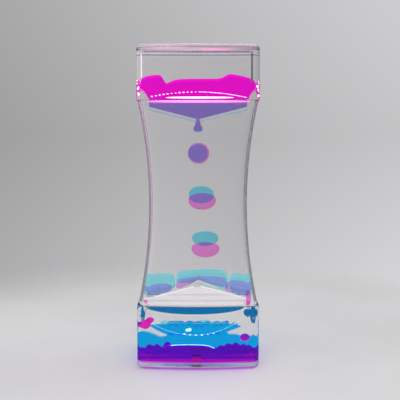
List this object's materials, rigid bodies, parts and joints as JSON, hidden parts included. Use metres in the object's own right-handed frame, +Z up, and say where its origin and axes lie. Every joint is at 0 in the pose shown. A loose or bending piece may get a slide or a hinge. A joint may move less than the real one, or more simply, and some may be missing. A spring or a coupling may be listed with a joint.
{
  "type": "liquid motion timer",
  "caption": "Clear waisted liquid timer with two end cups; pink and blue liquids drip from funnel plates through clear liquid in front and rear chambers.",
  "frame": {"origin": "middle of the flat base, on the surface the timer stands on", "axes": "+Z up along the height, +X to the right, -Y towards the front, the pink chamber's side"},
  "size_m": [0.052, 0.036, 0.1376],
  "materials": {
    "clear_plastic": "polished clear acrylic or polystyrene",
    "clear_liquid": "clear liquid",
    "pink_liquid": "clear liquid dyed magenta pink",
    "blue_liquid": "clear liquid dyed sky blue",
    "red_plug": "moulded red plastic"
  },
  "bodies": {
    "timer": {"waist_tube": "clear_plastic", "upper_cup": "clear_plastic", "lower_cup": "clear_plastic", "upper_funnel_plate": "clear_plastic", "lower_funnel_plate": "clear_plastic", "tube_divider": "clear_plastic", "upper_divider": "clear_plastic", "lower_divider": "clear_plastic", "front_fill_plug": "red_plug", "rear_fill_plug": "red_plug", "pink_upper_pool": "pink_liquid", "front_upper_clear_liquid": "clear_liquid", "blue_upper_pool": "blue_liquid", "rear_upper_clear_liquid": "clear_liquid", "pink_hanging_drop": "pink_liquid", "pink_left_puddle": "pink_liquid", "pink_centre_puddle": "pink_liquid", "pink_right_puddle": "pink_liquid", "front_middle_clear_liquid": "clear_liquid", "blue_hanging_drop": "blue_liquid", "blue_left_puddle": "blue_liquid", "blue_centre_puddle": "blue_liquid", "blue_right_puddle": "blue_liquid", "rear_middle_clear_liquid": "clear_liquid", "pink_lower_pool": "pink_liquid", "pink_left_bead": "pink_liquid", "pink_right_bead": "pink_liquid", "front_lower_clear_liquid": "clear_liquid", "blue_lower_pool": "blue_liquid", "blue_left_stream": "blue_liquid", "blue_right_stream": "blue_liquid", "blue_divider_film": "blue_liquid", "rear_lower_clear_liquid": "clear_liquid"},
    "pink_drop_1": {"pink_drop_1": "pink_liquid"},
    "pink_drop_2": {"pink_drop_2": "pink_liquid"},
    "pink_drop_3": {"pink_drop_3": "pink_liquid"},
    "blue_drop_1": {"blue_drop_1": "blue_liquid"},
    "blue_drop_2": {"blue_drop_2": "blue_liquid"},
    "blue_drop_3": {"blue_drop_3": "blue_liquid"}
  },
  "joints": [
    {"name": "pink_drop_3_fall", "type": "slide", "parent": "timer", "child": "pink_drop_3", "axis": [0, 0, 1], "range_m": [-0.0075, 0.0042]},
    {"name": "pink_drop_1_fall", "type": "slide", "parent": "timer", "child": "pink_drop_1", "axis": [0, 0, 1], "range_m": [-0.0075, 0.0042]},
    {"name": "pink_drop_2_fall", "type": "slide", "parent": "timer", "child": "pink_drop_2", "axis": [0, 0, 1], "range_m": [-0.0075, 0.0042]},
    {"name": "blue_drop_3_fall", "type": "slide", "parent": "timer", "child": "blue_drop_3", "axis": [0, 0, 1], "range_m": [-0.0096, 0.0042]},
    {"name": "blue_drop_1_fall", "type": "slide", "parent": "timer", "child": "blue_drop_1", "axis": [0, 0, 1], "range_m": [-0.0096, 0.0042]},
    {"name": "blue_drop_2_fall", "type": "slide", "parent": "timer", "child": "blue_drop_2", "axis": [0, 0, 1], "range_m": [-0.0096, 0.0042]}
  ],
  "couplings": [
    {"joint": "pink_drop_1_fall", "follows": "pink_drop_3_fall", "ratio": 1},
    {"joint": "pink_drop_2_fall", "follows": "pink_drop_3_fall", "ratio": 1},
    {"joint": "blue_drop_1_fall", "follows": "blue_drop_3_fall", "ratio": 1},
    {"joint": "blue_drop_2_fall", "follows": "blue_drop_3_fall", "ratio": 1}
  ]
}
